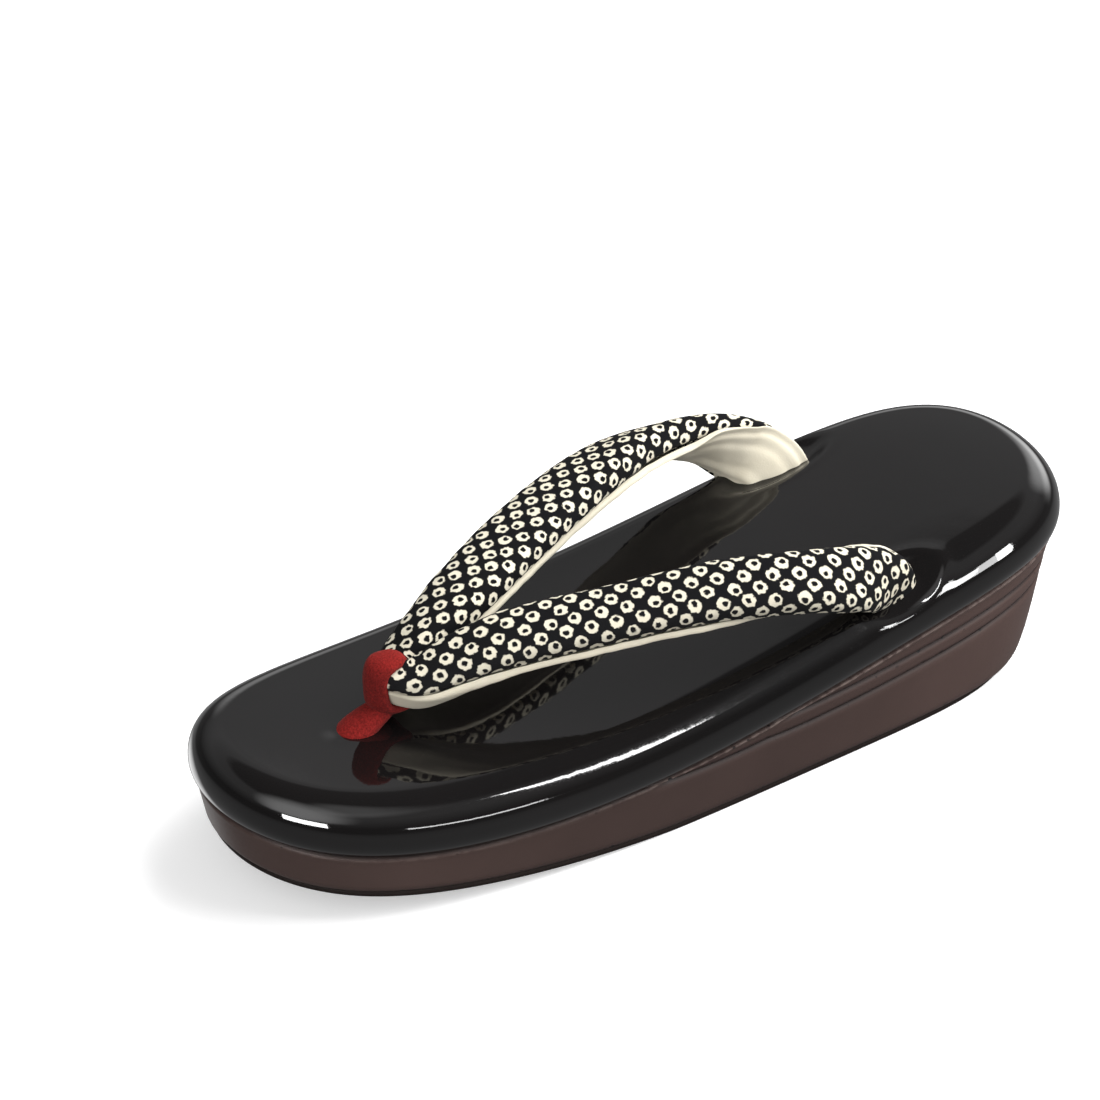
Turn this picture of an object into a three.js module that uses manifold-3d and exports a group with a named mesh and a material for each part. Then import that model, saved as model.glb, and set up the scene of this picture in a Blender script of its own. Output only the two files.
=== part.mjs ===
// A zori: a thonged sandal with a layered platform. Millimetres, Z up.
// The toe points to -Y, the wearer's left is +X, the floor is Z 0.
import * as THREE from "three";
import Module from "manifold-3d";

const wasm = await Module();
wasm.setup();
const { Manifold, Mesh } = wasm;

// Plan of the shoe
const LENGTH = 240;
const HALF_LENGTH = LENGTH / 2;
const RING_STEPS = 36;
// half-width as a sine series over the angle that runs from toe to heel
const PLAN = { mean: 53.65, taper: -0.88, waist: 13.6, toeSkew: -1.58, square: 1.68 };
// the bottom is shorter than the top at both ends and narrower at the sides
const BOTTOM_PLAN = { toeCut: 5.42, heelCut: 13.69, shrink: 0.07, lean: 1.49 };
const TOP_PLAN = { toeCut: 0, heelCut: 0, shrink: 0, lean: 0 };
// how far the brown cover stands inside the black edge
const COVER_INSET = 2.43;

// Heights
const GAP = 0.3;
// height of the line between brown and black along the shoe
const LINE = { middle: 19.03, slope: 14.48, bow: 14.7, heelEase: -9.86, endEase: -3.63 };
const TOE_SPRING = { start: -10, tip: -HALF_LENGTH, height: 11.8, power: 1.5 };
const OUTSOLE_THICK = 1.8;
const LOWER_LAYER = { start: -24, full: 30, thick: 4.7, edge: 0.7 };
const UPPER_LAYER = { start: 13, full: 84, thick: 5.8, edge: 0.7 };
const LAYER_BULGE = 0.7;
const BASE_BULGE = 0.9;

// Black cushion
const EDGE = { rise: 4.67, round: 10.74, reach: 9.67, tuck: 2.2 };
const CROWN = 0.3;
// the loop pulls the cushion down round the front hole
const DENT = { y: -78, depth: 1.8, radius: 13 };
const TOP_COLUMNS = 8;

function planPoint(angle, plan) {
  const c = Math.cos(angle);
  const series = PLAN.mean + PLAN.taper * c + PLAN.waist * Math.cos(2 * angle)
    + PLAN.toeSkew * Math.cos(3 * angle) + PLAN.square * Math.cos(4 * angle);
  const half = Math.sin(angle) * (series * (1 - plan.shrink) + plan.lean * c);
  const middle = (plan.toeCut - plan.heelCut) / 2;
  const reach = (LENGTH - plan.toeCut - plan.heelCut) / 2;
  return { x: half, y: middle - reach * c };
}

function planNormal(angle) {
  const step = 1e-4;
  const before = planPoint(angle - step, TOP_PLAN);
  const after = planPoint(angle + step, TOP_PLAN);
  const dx = after.x - before.x;
  const dy = after.y - before.y;
  const size = Math.hypot(dx, dy);
  return { x: dy / size, y: -dx / size };
}

function insetPoint(angle, inset) {
  const p = planPoint(angle, TOP_PLAN);
  const n = planNormal(angle);
  return { x: Math.max(p.x - inset * n.x, 0), y: p.y - inset * n.y };
}

function lineHeight(y) {
  const t = y / HALF_LENGTH;
  return LINE.middle + t * (LINE.slope + t * (LINE.bow + t * (LINE.heelEase + t * LINE.endEase)));
}

function bottomHeight(y) {
  if (y >= TOE_SPRING.start) return 0;
  const share = (TOE_SPRING.start - y) / (TOE_SPRING.start - TOE_SPRING.tip);
  return TOE_SPRING.height * share ** TOE_SPRING.power;
}

function layerThickness(y, layer) {
  const share = (y - layer.start) / (layer.full - layer.start);
  const eased = Math.min(Math.max(share, 0), 1);
  return layer.edge + (layer.thick - layer.edge) * Math.sin(eased * Math.PI / 2);
}

function upperLayerBottom(y) {
  return y > UPPER_LAYER.start ? lineHeight(y) - layerThickness(y, UPPER_LAYER) : lineHeight(y);
}

function lowerLayerBottom(y) {
  return y > LOWER_LAYER.start ? upperLayerBottom(y) - layerThickness(y, LOWER_LAYER) : lineHeight(y);
}

// Side of the brown cover: 0 at the black line, 1 at the floor
function coverPoint(angle, share, bulge) {
  const top = insetPoint(angle, COVER_INSET);
  const bottom = planPoint(angle, BOTTOM_PLAN);
  const n = planNormal(angle);
  const x = top.x + (bottom.x - top.x) * share + bulge * n.x;
  const y = top.y + (bottom.y - top.y) * share + bulge * n.y;
  return { x: Math.max(x, 0), y };
}

// A point of the cover at a height given by a function of its place along the shoe
function coverAt(angle, heightOf, bulge) {
  let share = 0.5;
  let p = coverPoint(angle, share, 0);
  for (let round = 0; round < 12; round += 1) {
    const top = lineHeight(insetPoint(angle, COVER_INSET).y);
    const bottom = bottomHeight(planPoint(angle, BOTTOM_PLAN).y);
    share = (top - heightOf(p.y)) / (top - bottom);
    p = coverPoint(angle, share, 0);
  }
  const z = heightOf(p.y);
  const n = planNormal(angle);
  return new THREE.Vector3(Math.max(p.x + bulge * n.x, 0), p.y + bulge * n.y, z);
}

function rightSide(firstAngle) {
  const steps = Math.max(8, Math.round(RING_STEPS * (Math.PI - firstAngle) / Math.PI));
  const angles = [];
  for (let i = 0; i <= steps; i += 1) angles.push(firstAngle + (Math.PI - firstAngle) * i / steps);
  return angles;
}

function mirrored(p) {
  return new THREE.Vector3(-p.x, p.y, p.z);
}

// A closed ring from the points of its right side, toe to heel
function ringOf(right, fromTip) {
  const last = right.length - 1;
  const left = right.slice(fromTip ? 1 : 0, last).reverse().map(mirrored);
  return [...right, ...left];
}

// Rows from left to right, one for each step along the shoe, to close a ring
function rowsOf(right, columns, heightOf) {
  return right.map((p) => {
    if (p.x < 1e-6) return [p.clone()];
    const row = [];
    for (let c = 0; c <= columns; c += 1) {
      if (c === 0) row.push(mirrored(p));
      else if (c === columns) row.push(p.clone());
      else {
        const x = p.x * (2 * c / columns - 1);
        row.push(new THREE.Vector3(x, p.y, heightOf(x, p)));
      }
    }
    return row;
  });
}

class Facets {
  constructor() {
    this.points = [];
    this.corners = [];
    this.found = new Map();
  }

  vertex(p) {
    const key = [p.x, p.y, p.z].map((v) => Math.round(v * 1e5)).join(",");
    if (!this.found.has(key)) {
      this.found.set(key, this.points.length);
      this.points.push(p);
    }
    return this.found.get(key);
  }

  triangle(a, b, c) {
    const corner = [this.vertex(a), this.vertex(b), this.vertex(c)];
    if (new Set(corner).size === 3) this.corners.push(corner);
  }

  quad(a, b, c, d) {
    this.triangle(a, b, c);
    this.triangle(a, c, d);
  }

  band(low, high) {
    for (let i = 0; i < low.length; i += 1) {
      const j = (i + 1) % low.length;
      this.quad(low[i], low[j], high[j], high[i]);
    }
  }

  rows(rows, up) {
    for (let i = 0; i + 1 < rows.length; i += 1) {
      const near = rows[i];
      const far = rows[i + 1];
      const columns = Math.max(near.length, far.length);
      for (let c = 0; c + 1 < columns; c += 1) {
        const a = near[Math.min(c, near.length - 1)];
        const b = near[Math.min(c + 1, near.length - 1)];
        const d = far[Math.min(c, far.length - 1)];
        const e = far[Math.min(c + 1, far.length - 1)];
        if (up) this.quad(a, b, e, d);
        else this.quad(a, d, e, b);
      }
    }
  }

  fan(centre, ring, up) {
    for (let i = 0; i < ring.length; i += 1) {
      const j = (i + 1) % ring.length;
      if (up) this.triangle(centre, ring[i], ring[j]);
      else this.triangle(centre, ring[j], ring[i]);
    }
  }

  solid() {
    const vertProperties = new Float32Array(this.points.flatMap((p) => [p.x, p.y, p.z]));
    const triVerts = new Uint32Array(this.corners.flat());
    const mesh = new Mesh({ numProp: 3, vertProperties, triVerts });
    mesh.merge();
    return new Manifold(mesh);
  }
}

// A layer of the platform between two heights, its side bulged between the creases
function platformLayer(firstAngle, bottomOf, topOf, bulge, levels) {
  const angles = rightSide(firstAngle);
  const fromTip = firstAngle === 0;
  const facets = new Facets();
  const sides = levels.map((share) => angles.map((angle) => {
    const swell = bulge * Math.sin(Math.PI * share);
    return coverAt(angle, (y) => bottomOf(y) + (topOf(y) - bottomOf(y)) * share, swell);
  }));
  const rings = sides.map((side) => ringOf(side, fromTip));
  for (let i = 0; i + 1 < rings.length; i += 1) facets.band(rings[i], rings[i + 1]);
  facets.rows(rowsOf(sides[0], 1, null), false);
  facets.rows(rowsOf(sides[sides.length - 1], 1, null), true);
  return facets.solid();
}

function angleAt(y) {
  let low = 0;
  let high = Math.PI;
  for (let round = 0; round < 40; round += 1) {
    const middle = (low + high) / 2;
    if (insetPoint(middle, COVER_INSET).y < y) low = middle;
    else high = middle;
  }
  return low;
}

// The black cushion: flat under, a rounded edge, a slightly crowned top
function cushion() {
  const angles = rightSide(0);
  const facets = new Facets();
  const profile = [
    { inset: COVER_INSET + 1, rise: GAP },
    { inset: EDGE.tuck, rise: GAP + 0.3 },
    { inset: EDGE.tuck * 0.3, rise: EDGE.rise * 0.45 },
    { inset: 0, rise: EDGE.rise },
  ];
  const roundSteps = 6;
  for (let i = 1; i <= roundSteps; i += 1) {
    const turn = i / roundSteps * Math.PI / 2;
    profile.push({
      inset: EDGE.reach * (1 - Math.cos(turn)),
      rise: EDGE.rise + EDGE.round * Math.sin(turn),
    });
  }
  const sides = profile.map(({ inset, rise }) => angles.map((angle) => {
    const p = insetPoint(angle, inset);
    return new THREE.Vector3(p.x, p.y, lineHeight(p.y) + rise);
  }));
  const rings = sides.map((side) => ringOf(side, true));
  for (let i = 0; i + 1 < rings.length; i += 1) facets.band(rings[i], rings[i + 1]);
  facets.rows(rowsOf(sides[0], 1, null), false);
  const crowned = (x, p) => {
    const away = Math.hypot(x, p.y - DENT.y) / DENT.radius;
    return p.z + CROWN * (1 - (x / p.x) ** 2) - DENT.depth * Math.exp(-away * away);
  };
  facets.rows(rowsOf(sides[sides.length - 1], TOP_COLUMNS, crowned), true);
  return facets.solid();
}

// A tube through the rows of a table, with an oval section that lies across the path
function tube(table, steps, sides, grow) {
  const names = Object.keys(table[0]);
  const sampled = (name) => new THREE.SplineCurve(table.map((row, i) => new THREE.Vector2(i, row[name])));
  const curves = Object.fromEntries(names.map((name) => [name, sampled(name)]));
  const read = (name, t) => curves[name].getPoint(t).y;
  const facets = new Facets();
  const rings = [];
  const centres = [];
  for (let i = 0; i <= steps; i += 1) {
    const t = i / steps;
    const at = new THREE.Vector3(read("x", t), read("y", t), read("z", t));
    const ahead = Math.min(t + 0.01, 1);
    const behind = Math.max(t - 0.01, 0);
    const along = new THREE.Vector3(
      read("x", ahead) - read("x", behind),
      read("y", ahead) - read("y", behind),
      read("z", ahead) - read("z", behind),
    ).normalize();
    const across = new THREE.Vector3(read("acrossX", t), read("acrossY", t), read("acrossZ", t));
    across.addScaledVector(along, -across.dot(along)).normalize();
    const face = new THREE.Vector3().crossVectors(across, along);
    const ring = [];
    for (let k = 0; k < sides; k += 1) {
      const turn = k / sides * 2 * Math.PI;
      const lift = Math.sin(turn) > 0 ? read("over", t) : read("under", t);
      ring.push(at.clone()
        .addScaledVector(across, (read("half", t) + grow) * Math.cos(turn))
        .addScaledVector(face, (lift + grow) * Math.sin(turn)));
    }
    rings.push(ring.reverse());
    centres.push({ at, along });
  }
  const first = centres[0];
  const last = centres[steps];
  const tip = table[0].dome + grow;
  const end = table[table.length - 1].dome + grow;
  for (let i = 0; i < steps; i += 1) facets.band(rings[i], rings[i + 1]);
  facets.fan(first.at.clone().addScaledVector(first.along, -tip), rings[0], false);
  facets.fan(last.at.clone().addScaledVector(last.along, end), rings[steps], true);
  return facets.solid();
}

function mirroredSolid(solid) {
  return solid.mirror([1, 0, 0]);
}

// Straps: each arm from the fold at the front to its hole at the side, drawn as a left arm.
// across is the direction of the strap's width, towards its outer edge.
const ARM_FRONT = [
  { x: -1.5, y: -69.2, z: 43.3, acrossX: 0.15, acrossY: -0.9, acrossZ: -0.4, half: 4.2, over: 4.6, under: 4.0, dome: 0.6 },
  { x: 2.6, y: -68.5, z: 43.2, acrossX: 0.5, acrossY: -0.75, acrossZ: -0.42, half: 4.8, over: 5.0, under: 4.2, dome: 0 },
  { x: 5.6, y: -64.4, z: 43.9, acrossX: 0.88, acrossY: -0.3, acrossZ: -0.4, half: 6.0, over: 5.6, under: 4.6, dome: 0 },
  { x: 8.2, y: -53.8, z: 47.4, acrossX: 0.9, acrossY: -0.25, acrossZ: -0.36, half: 7.4, over: 5.8, under: 4.8, dome: 0 },
  { x: 12.5, y: -41.2, z: 50.9, acrossX: 0.9, acrossY: -0.3, acrossZ: -0.31, half: 8.7, over: 5.8, under: 5, dome: 0 },
  { x: 21.8, y: -18.6, z: 54.3, acrossX: 0.88, acrossY: -0.33, acrossZ: -0.34, half: 8.9, over: 5.8, under: 5, dome: 0 },
  { x: 30.4, y: 4.9, z: 57.1, acrossX: 0.85, acrossY: -0.27, acrossZ: -0.45, half: 8.9, over: 5.8, under: 5, dome: 0 },
];
const LEFT_ARM = [
  ...ARM_FRONT,
  { x: 36, y: 22, z: 56.2, acrossX: 0.78, acrossY: -0.3, acrossZ: -0.55, half: 9.1, over: 5.8, under: 4.8, dome: 0 },
  { x: 37.3, y: 36.4, z: 51.7, acrossX: 0.6, acrossY: -0.52, acrossZ: -0.6, half: 9.2, over: 5.4, under: 4.4, dome: 0 },
  { x: 34.3, y: 46.4, z: 45.4, acrossX: 0.38, acrossY: -0.82, acrossZ: -0.42, half: 8.8, over: 5, under: 4, dome: 0 },
  { x: 31.6, y: 51, z: 39.2, acrossX: 0.2, acrossY: -0.95, acrossZ: -0.2, half: 8, over: 4.6, under: 3.8, dome: 0 },
  { x: 30.3, y: 52.4, z: 33, acrossX: 0.15, acrossY: -0.98, acrossZ: -0.12, half: 7.6, over: 4, under: 3.6, dome: 0.8 },
];
// the right arm was drawn through a little further back
const RIGHT_ARM = [
  ...ARM_FRONT,
  { x: 36, y: 23, z: 56.9, acrossX: 0.78, acrossY: -0.3, acrossZ: -0.55, half: 9.4, over: 5.8, under: 4.8, dome: 0 },
  { x: 37.4, y: 40.5, z: 54.3, acrossX: 0.6, acrossY: -0.52, acrossZ: -0.6, half: 10.4, over: 5.2, under: 4.4, dome: 0 },
  { x: 32.8, y: 53, z: 47.6, acrossX: 0.38, acrossY: -0.82, acrossZ: -0.42, half: 11, over: 4.8, under: 4, dome: 0 },
  { x: 28, y: 59, z: 41.4, acrossX: 0.2, acrossY: -0.95, acrossZ: -0.2, half: 10.6, over: 4.6, under: 3.8, dome: 0 },
  { x: 26.6, y: 60.8, z: 35, acrossX: 0.15, acrossY: -0.98, acrossZ: -0.12, half: 10, over: 4, under: 3.6, dome: 0.8 },
];
const STRAP_STEPS = 36;
const STRAP_SIDES = 16;

// Loop: the post that swells above the front hole, and the band round the fold
const LOOP_POST = [
  { x: 0, y: -79, z: 23.2, acrossX: 1, acrossY: 0, acrossZ: 0, half: 4.4, over: 4.0, under: 4.0, dome: 0.6 },
  { x: 0, y: -78.8, z: 27.4, acrossX: 1, acrossY: 0, acrossZ: 0, half: 4.8, over: 4.4, under: 4.4, dome: 0 },
  { x: 0, y: -78.2, z: 31.6, acrossX: 1, acrossY: 0, acrossZ: 0, half: 5.6, over: 5.0, under: 5.0, dome: 0 },
  { x: 0, y: -76.6, z: 35.0, acrossX: 1, acrossY: 0, acrossZ: 0, half: 5.2, over: 4.5, under: 4.5, dome: 0 },
  { x: 0, y: -74, z: 38.2, acrossX: 1, acrossY: 0, acrossZ: 0, half: 3.8, over: 3.2, under: 3.2, dome: 1 },
];
const LOOP_BAND = [
  { x: -4.2, y: -68.8, z: 43.1, acrossX: 0, acrossY: -1, acrossZ: 0, half: 6.2, over: 6.5, under: 6.2, dome: 0.2 },
  { x: -3.4, y: -68.8, z: 43.1, acrossX: 0, acrossY: -1, acrossZ: 0, half: 6.8, over: 7.2, under: 6.9, dome: 0 },
  { x: 0, y: -68.8, z: 43.1, acrossX: 0, acrossY: -1, acrossZ: 0, half: 7.0, over: 7.5, under: 7.2, dome: 0 },
  { x: 3.4, y: -68.8, z: 43.1, acrossX: 0, acrossY: -1, acrossZ: 0, half: 6.8, over: 7.2, under: 6.9, dome: 0 },
  { x: 4.2, y: -68.8, z: 43.1, acrossX: 0, acrossY: -1, acrossZ: 0, half: 6.2, over: 6.5, under: 6.2, dome: 0.2 },
];
const LOOP_STEPS = 12;
const LOOP_SIDES = 24;

function straps(grow) {
  const left = tube(LEFT_ARM, STRAP_STEPS, STRAP_SIDES, grow);
  const right = mirroredSolid(tube(RIGHT_ARM, STRAP_STEPS, STRAP_SIDES, grow));
  return left.add(right);
}

const lowerStart = angleAt(LOWER_LAYER.start + 1);
const upperStart = angleAt(UPPER_LAYER.start + 1);
const outsoleTop = (y) => bottomHeight(y) + OUTSOLE_THICK;
const baseBottom = (y) => outsoleTop(y) + GAP;

const outsole = platformLayer(0, bottomHeight, outsoleTop, 0, [0, 1]);
const base = platformLayer(0, baseBottom, (y) => lowerLayerBottom(y), BASE_BULGE, [0, 0.1, 0.35, 0.65, 0.9, 1]);
const lowerLayer = platformLayer(lowerStart, (y) => lowerLayerBottom(y) + GAP, upperLayerBottom,
  LAYER_BULGE, [0, 0.2, 0.5, 0.8, 1]);
const upperLayer = platformLayer(upperStart, (y) => upperLayerBottom(y) + GAP, lineHeight,
  LAYER_BULGE, [0, 0.2, 0.5, 0.8, 1]);
const strapSolid = straps(0);
const strapClear = straps(GAP);
const loopPost = tube(LOOP_POST, LOOP_STEPS, LOOP_SIDES, 0);
const loopClear = tube(LOOP_POST, LOOP_STEPS, LOOP_SIDES, GAP);
const loopSolid = loopPost.add(tube(LOOP_BAND, LOOP_STEPS, LOOP_SIDES, 0)).subtract(strapClear);
const topSolid = cushion().subtract(strapClear).subtract(loopClear);

const BROWN = { color: 0x54473f, roughness: 0.45 };
const LOOKS = {
  outsole: { color: 0x2a2624, roughness: 0.7 },
  platform_base: BROWN,
  heel_layer_lower: BROWN,
  heel_layer_upper: BROWN,
  top_board: { color: 0x0c0b0c, roughness: 0.05 },
  hanao_straps: { color: 0x14141a, roughness: 0.85 },
  toe_loop: { color: 0x8e1f1f, roughness: 0.9 },
};

function meshOf(name, solid) {
  const { vertProperties, triVerts, numProp } = solid.getMesh();
  const count = vertProperties.length / numProp;
  const positions = new Float32Array(count * 3);
  for (let i = 0; i < count; i += 1) {
    for (let k = 0; k < 3; k += 1) positions[i * 3 + k] = vertProperties[i * numProp + k];
  }
  const geometry = new THREE.BufferGeometry();
  geometry.setAttribute("position", new THREE.BufferAttribute(positions, 3));
  geometry.setIndex(new THREE.BufferAttribute(new Uint32Array(triVerts), 1));
  geometry.computeVertexNormals();
  const mesh = new THREE.Mesh(geometry, new THREE.MeshStandardMaterial(LOOKS[name]));
  mesh.name = name;
  return mesh;
}

const zori = new THREE.Group();
zori.name = "zori";
zori.add(meshOf("outsole", outsole));
zori.add(meshOf("platform_base", base));
zori.add(meshOf("heel_layer_lower", lowerLayer));
zori.add(meshOf("heel_layer_upper", upperLayer));
zori.add(meshOf("top_board", topSolid));
zori.add(meshOf("hanao_straps", strapSolid));
zori.add(meshOf("toe_loop", loopSolid));

export default zori;
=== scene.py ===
"""A zori dressed for the render: enamelled cushion, brown wrapped platform, dotted straps, red toe loop.

Sizes are in millimetres up to the point where a mesh is made. The toe points to -Y, the wearer's left is +X.
"""
import math

import bpy
import numpy as np
from mathutils import Matrix, Vector, noise


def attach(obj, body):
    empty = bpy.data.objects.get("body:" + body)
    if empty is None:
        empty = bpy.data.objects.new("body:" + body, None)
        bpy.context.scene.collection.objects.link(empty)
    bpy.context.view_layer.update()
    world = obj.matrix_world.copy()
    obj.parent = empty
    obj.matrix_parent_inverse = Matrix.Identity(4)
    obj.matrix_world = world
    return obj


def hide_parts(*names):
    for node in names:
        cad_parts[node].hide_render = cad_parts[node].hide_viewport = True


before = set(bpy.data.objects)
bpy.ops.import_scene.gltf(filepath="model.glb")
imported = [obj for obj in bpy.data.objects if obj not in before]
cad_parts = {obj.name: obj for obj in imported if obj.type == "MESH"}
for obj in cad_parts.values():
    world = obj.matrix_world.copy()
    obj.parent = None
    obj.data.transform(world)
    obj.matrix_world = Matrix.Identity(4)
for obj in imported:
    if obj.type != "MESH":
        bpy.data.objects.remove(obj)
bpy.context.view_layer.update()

MM = 0.001
QUARTER_TURN = math.pi / 2
FULL_TURN = 2 * math.pi

# Plan and heights of the shoe, as the solids have them
LENGTH = 240.0
HALF_LENGTH = LENGTH / 2
PLAN = {"mean": 53.65, "taper": -0.88, "waist": 13.6, "toe_skew": -1.58, "square": 1.68}
TOP_PLAN = {"toe_cut": 0.0, "heel_cut": 0.0, "shrink": 0.0, "lean": 0.0}
BOTTOM_PLAN = {"toe_cut": 5.42, "heel_cut": 13.69, "shrink": 0.07, "lean": 1.49}
NORMAL_STEP = 1e-4
COVER_INSET = 2.43
COVER_PASSES = 12
GAP = 0.3
LINE = {"middle": 19.03, "slope": 14.48, "bow": 14.7, "heel_ease": -9.86, "end_ease": -3.63}
TOE_SPRING = {"start": -10.0, "tip": -HALF_LENGTH, "height": 11.8, "power": 1.5}
OUTSOLE_THICK = 1.8
LOWER_LAYER = {"start": -24.0, "full": 30.0, "thick": 4.7}
UPPER_LAYER = {"start": 13.0, "full": 84.0, "thick": 5.8}
EDGE = {"rise": 4.67, "round": 10.74, "reach": 9.67, "tuck": 2.2}

# Straps: one padded tube from the right hole over the fold to the left hole, rows drawn as a left arm
STRAP_COLUMNS = ("x", "y", "z", "across_x", "across_y", "across_z", "half", "over", "under")
PLACE = slice(0, 3)
ACROSS = slice(3, 6)
MIRROR_ROW = (-1, 1, 1, -1, 1, 1, 1, 1, 1)
FOLD = (0.0, -69.1, 43.25, 0.0, -0.91, -0.41, 4.5, 4.8, 4.1)
LEFT_ARM = (
    (2.7, -67.6, 42.9, 0.62, -0.66, -0.42, 4.9, 5.0, 4.0),
    (5.4, -63.2, 43.5, 0.88, -0.28, -0.4, 6.0, 5.2, 4.0),
    (8.2, -53.8, 47.2, 0.9, -0.25, -0.36, 7.1, 5.0, 3.8),
    (12.0, -41.0, 50.8, 0.9, -0.3, -0.31, 7.9, 5.0, 3.6),
    (20.9, -18.3, 54.3, 0.88, -0.33, -0.34, 7.7, 5.0, 3.6),
    (29.6, 5.2, 57.2, 0.85, -0.27, -0.45, 7.7, 5.0, 3.6),
    (35.3, 22.3, 56.7, 0.78, -0.3, -0.55, 7.6, 5.0, 3.8),
    (36.5, 37.6, 52.9, 0.6, -0.52, -0.6, 8.0, 4.6, 4.0),
    (33.6, 49.2, 46.8, 0.34, -0.86, -0.38, 8.0, 4.2, 4.0),
    (31.2, 54.0, 41.0, 0.12, -0.98, -0.16, 7.6, 3.8, 3.6),
    (30.4, 55.6, 34.0, 0.1, -0.99, -0.12, 7.4, 3.6, 3.4),
)
RIGHT_ARM = (
    (2.7, -67.6, 41.8, 0.62, -0.66, -0.42, 4.8, 4.7, 4.0),
    (5.4, -63.2, 42.0, 0.88, -0.28, -0.36, 5.8, 4.6, 4.0),
    (8.2, -53.8, 46.2, 0.92, -0.25, -0.22, 7.1, 4.7, 3.8),
    (12.5, -41.2, 50.2, 0.94, -0.3, -0.1, 8.6, 4.4, 3.7),
    (21.8, -18.6, 54.0, 0.94, -0.33, -0.08, 9.1, 4.4, 3.7),
    (30.4, 4.9, 56.6, 0.93, -0.27, -0.18, 8.9, 4.4, 3.8),
    (36.2, 23.6, 56.2, 0.82, -0.3, -0.45, 8.6, 4.6, 4.4),
    (37.2, 41.5, 53.0, 0.62, -0.5, -0.6, 8.3, 4.2, 4.2),
    (33.4, 53.4, 47.2, 0.4, -0.8, -0.44, 9.2, 4.0, 3.8),
    (28.6, 59.0, 41.6, 0.2, -0.95, -0.2, 9.7, 3.9, 3.6),
    (26.9, 60.8, 35.0, 0.15, -0.98, -0.12, 9.7, 3.8, 3.6),
)

# Camera: matched to the photograph
PHOTO_PIXELS = 1100
CAMERA = {"azimuth": 57.66, "elevation": 33.54, "roll": -0.51, "distance": 1554.72, "focal_pixels": 6185.36}
CAMERA_TARGET = (-49.1, 7.44, 25.0)
SENSOR = 36.0
CLIP_END = 50


def around(count):
    """Evenly spaced angles of a full turn."""
    return np.linspace(0, FULL_TURN, count, endpoint=False)


def unit(vectors):
    return vectors / np.linalg.norm(vectors, axis=-1, keepdims=True)


def signed_power(value, power):
    return np.sign(value) * np.abs(value) ** power


def smooth_step(low, high, value):
    t = np.clip((value - low) / (high - low), 0, 1)
    return t * t * (3 - 2 * t)


def plan_point(angle, plan):
    """Points of an outline over the angle that runs from toe, 0, to heel, pi, on the left side."""
    c = np.cos(angle)
    series = (PLAN["mean"] + PLAN["taper"] * c + PLAN["waist"] * np.cos(2 * angle)
              + PLAN["toe_skew"] * np.cos(3 * angle) + PLAN["square"] * np.cos(4 * angle))
    half = np.sin(angle) * (series * (1 - plan["shrink"]) + plan["lean"] * c)
    middle = (plan["toe_cut"] - plan["heel_cut"]) / 2
    reach = (LENGTH - plan["toe_cut"] - plan["heel_cut"]) / 2
    return np.stack([half, middle - reach * c], axis=-1)


def plan_normal(angle):
    run = plan_point(angle + NORMAL_STEP, TOP_PLAN) - plan_point(angle - NORMAL_STEP, TOP_PLAN)
    return unit(np.stack([run[..., 1], -run[..., 0]], axis=-1))


def line_height(y):
    """Height of the line between brown and black along the shoe."""
    t = y / HALF_LENGTH
    ease = LINE["heel_ease"] + t * LINE["end_ease"]
    return LINE["middle"] + t * (LINE["slope"] + t * (LINE["bow"] + t * ease))


def bottom_height(y):
    share = np.clip((TOE_SPRING["start"] - y) / (TOE_SPRING["start"] - TOE_SPRING["tip"]), 0, None)
    return TOE_SPRING["height"] * share ** TOE_SPRING["power"]


def outsole_top(y):
    return bottom_height(y) + OUTSOLE_THICK


def layer_thickness(y, layer):
    share = np.clip((y - layer["start"]) / (layer["full"] - layer["start"]), 0, 1)
    return layer["thick"] * np.sin(share * QUARTER_TURN)


def upper_layer_bottom(y):
    return line_height(y) - layer_thickness(y, UPPER_LAYER)


def lower_layer_bottom(y):
    return upper_layer_bottom(y) - layer_thickness(y, LOWER_LAYER)


def cover_at(angle, height_of, bulge):
    """Points of the brown side at a height that is a function of the place along the shoe."""
    top = plan_point(angle, TOP_PLAN) - COVER_INSET * plan_normal(angle)
    bottom = plan_point(angle, BOTTOM_PLAN)
    top_z = line_height(top[:, 1])
    bottom_z = bottom_height(bottom[:, 1])
    p = (top + bottom) / 2
    for _ in range(COVER_PASSES):
        share = (top_z - height_of(p[:, 1])) / (top_z - bottom_z)
        p = top + (bottom - top) * share[:, None]
    z = height_of(p[:, 1])
    return np.column_stack([p + bulge[:, None] * plan_normal(angle), z])


SEED_SHIFT = (17.3, 5.1, 9.7)


def noise_on(points, size, seed, height):
    """Soft noise from -height to height at points in millimetres, with features of about the given size."""
    shift = Vector([seed * step for step in SEED_SHIFT])
    values = [noise.noise(Vector(p) / size + shift) for p in points.reshape(-1, 3)]
    return np.array(values).reshape(points.shape[:-1]) * height


def mesh_piece(name, points, faces, attributes, material, replaced):
    """A smooth mesh piece from points in millimetres, with point attributes, riding on the root body."""
    mesh = bpy.data.meshes.new(name)
    mesh.from_pydata((points * MM).tolist(), [], faces)
    mesh.validate()
    for key, values in attributes.items():
        if values.ndim == 1:
            layer = mesh.attributes.new(key, "FLOAT", "POINT")
            layer.data.foreach_set("value", values.astype(np.float32))
        else:
            layer = mesh.attributes.new(key, "FLOAT_VECTOR", "POINT")
            layer.data.foreach_set("vector", values.astype(np.float32).ravel())
    mesh.polygons.foreach_set("use_smooth", np.ones(len(mesh.polygons), bool))
    mesh.materials.append(material)
    piece = bpy.data.objects.new(name, mesh)
    bpy.context.scene.collection.objects.link(piece)
    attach(piece, "root")
    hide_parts(*replaced)
    return piece


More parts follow.
